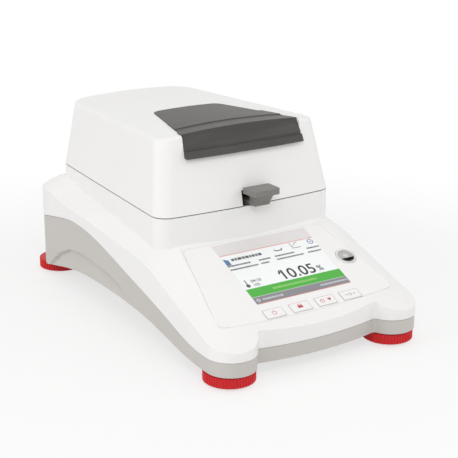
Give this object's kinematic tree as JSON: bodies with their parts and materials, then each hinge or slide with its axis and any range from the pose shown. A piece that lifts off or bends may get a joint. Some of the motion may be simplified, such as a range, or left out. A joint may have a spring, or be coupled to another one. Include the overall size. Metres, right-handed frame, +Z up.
{
  "type": "moisture analyzer",
  "caption": "Halogen moisture analyzer: hinged heating lid over a weighing pan, sloping display panel with keys, and levelling feet.",
  "frame": {"origin": "on the bench under the middle of the instrument", "axes": "+Z up, display faces -Y, rear connectors face +Y, +X to the right seen from the display"},
  "size_m": [0.203, 0.355, 0.1762],
  "materials": {
    "white_abs": "satin white ABS with a fine grain",
    "warm_grey_abs": "satin warm grey ABS",
    "panel_film": "white polyester film on a plate",
    "screen": "pale display face",
    "module": "dark display module",
    "key_cap": "satin pale grey caps",
    "circuit_board": "green circuit board",
    "level_ring": "dark level ring",
    "level_vial": "tinted level vial",
    "grey_plate": "heat resistant grey plastic",
    "steel": "pressed stainless steel",
    "aluminium": "satin aluminium",
    "pan_aluminium": "bright thin aluminium",
    "handler_plastic": "mid grey heat resistant plastic",
    "connector_black": "black moulded plastic",
    "connector_metal": "plated connector shell",
    "hinge_grey": "grey hinge plastic",
    "seal_rubber": "dark soft seal",
    "window_tint": "smoke tinted window",
    "reflector_gold": "gold coated reflector",
    "lamp_quartz": "quartz lamp tube",
    "ceramic": "ceramic",
    "clear_glass": "heat resistant glass",
    "red_plastic": "red moulded plastic",
    "rubber_pad": "rubber foot pad"
  },
  "bodies": {
    "base": {"lower_housing": "warm_grey_abs", "upper_housing": "white_abs", "control_panel_overlay": "panel_film", "display_glass": "screen", "display_module": "module", "key_switch_board": "circuit_board", "level_housing": "level_ring", "level_glass": "level_vial", "chamber_deck": "grey_plate", "chamber_tray": "steel", "draft_shield": "steel", "pan_support": "aluminium", "load_cell": "aluminium", "load_cell_bracket": "aluminium", "main_board": "circuit_board", "power_supply_board": "circuit_board", "mains_inlet": "connector_black", "usb_port": "connector_metal", "serial_port": "connector_metal", "housing_screws": "steel", "hinge_brackets": "hinge_grey", "hinge_pins": "steel"},
    "lid": {"lid_shell": "white_abs", "lid_seal": "seal_rubber", "lid_liner": "grey_plate", "viewing_window": "window_tint", "reflector": "reflector_gold", "halogen_ring_lamp": "lamp_quartz", "lamp_holders": "ceramic", "protective_glass": "clear_glass", "glass_retaining_ring": "steel", "temperature_sensor": "steel", "lid_knuckles": "hinge_grey"},
    "handler": {"pan_handler": "handler_plastic"},
    "pan": {"sample_pan": "pan_aluminium"},
    "power_key": {"power_key": "key_cap"},
    "print_key": {"print_key": "key_cap"},
    "start_stop_key": {"start_stop_key": "key_cap"},
    "zero_key": {"zero_key": "key_cap"},
    "pad_front_left": {"foot_pad_front_left": "rubber_pad"},
    "wheel_front_left": {"foot_wheel_front_left": "red_plastic", "foot_stud_front_left": "steel"},
    "pad_front_right": {"foot_pad_front_right": "rubber_pad"},
    "wheel_front_right": {"foot_wheel_front_right": "red_plastic", "foot_stud_front_right": "steel"},
    "pad_rear_left": {"foot_pad_rear_left": "rubber_pad"},
    "wheel_rear_left": {"foot_wheel_rear_left": "red_plastic", "foot_stud_rear_left": "steel"},
    "pad_rear_right": {"foot_pad_rear_right": "rubber_pad"},
    "wheel_rear_right": {"foot_wheel_rear_right": "red_plastic", "foot_stud_rear_right": "steel"}
  },
  "joints": [
    {"name": "lid_hinge", "type": "hinge", "parent": "base", "child": "lid", "pos_m": [0, 0.1585, 0.104], "axis": [-1, 0, 0], "range_deg": [0, 85]},
    {"name": "handler_lift", "type": "slide", "parent": "base", "child": "handler", "axis": [0, 0, 1], "range_m": [0, 0.006]},
    {"name": "pan_lift", "type": "slide", "parent": "handler", "child": "pan", "axis": [0, 0, 1], "range_m": [0, 0.006]},
    {"name": "power_key_press", "type": "slide", "parent": "base", "child": "power_key", "axis": [0, 0.3989, -0.917], "range_m": [0, 0.0006], "stiffness_N_per_m": 400, "springref_m": -0.0002},
    {"name": "print_key_press", "type": "slide", "parent": "base", "child": "print_key", "axis": [0, 0.3989, -0.917], "range_m": [0, 0.0006], "stiffness_N_per_m": 400, "springref_m": -0.0002},
    {"name": "start_stop_key_press", "type": "slide", "parent": "base", "child": "start_stop_key", "axis": [0, 0.3989, -0.917], "range_m": [0, 0.0006], "stiffness_N_per_m": 400, "springref_m": -0.0002},
    {"name": "zero_key_press", "type": "slide", "parent": "base", "child": "zero_key", "axis": [0, 0.3989, -0.917], "range_m": [0, 0.0006], "stiffness_N_per_m": 400, "springref_m": -0.0002},
    {"name": "lift_front_left", "type": "slide", "parent": "base", "child": "pad_front_left", "axis": [0, 0, 1], "range_m": [-0.006, 0.0005]},
    {"name": "spin_front_left", "type": "hinge", "parent": "pad_front_left", "child": "wheel_front_left", "pos_m": [-0.08, -0.1545, 0.006], "axis": [0, 0, 1], "range_deg": [-1728, 144]},
    {"name": "lift_front_right", "type": "slide", "parent": "base", "child": "pad_front_right", "axis": [0, 0, 1], "range_m": [-0.006, 0.0005]},
    {"name": "spin_front_right", "type": "hinge", "parent": "pad_front_right", "child": "wheel_front_right", "pos_m": [0.08, -0.1545, 0.006], "axis": [0, 0, 1], "range_deg": [-1728, 144]},
    {"name": "lift_rear_left", "type": "slide", "parent": "base", "child": "pad_rear_left", "axis": [0, 0, 1], "range_m": [-0.006, 0.0005]},
    {"name": "spin_rear_left", "type": "hinge", "parent": "pad_rear_left", "child": "wheel_rear_left", "pos_m": [-0.072, 0.1563, 0.006], "axis": [0, 0, 1], "range_deg": [-1728, 144]},
    {"name": "lift_rear_right", "type": "slide", "parent": "base", "child": "pad_rear_right", "axis": [0, 0, 1], "range_m": [-0.006, 0.0005]},
    {"name": "spin_rear_right", "type": "hinge", "parent": "pad_rear_right", "child": "wheel_rear_right", "pos_m": [0.072, 0.1563, 0.006], "axis": [0, 0, 1], "range_deg": [-1728, 144]}
  ],
  "couplings": [
    {"joint": "lift_front_left", "follows": "spin_front_left", "m_per_rad": 0.00019894},
    {"joint": "lift_front_right", "follows": "spin_front_right", "m_per_rad": 0.00019894},
    {"joint": "lift_rear_left", "follows": "spin_rear_left", "m_per_rad": 0.00019894},
    {"joint": "lift_rear_right", "follows": "spin_rear_right", "m_per_rad": 0.00019894}
  ]
}
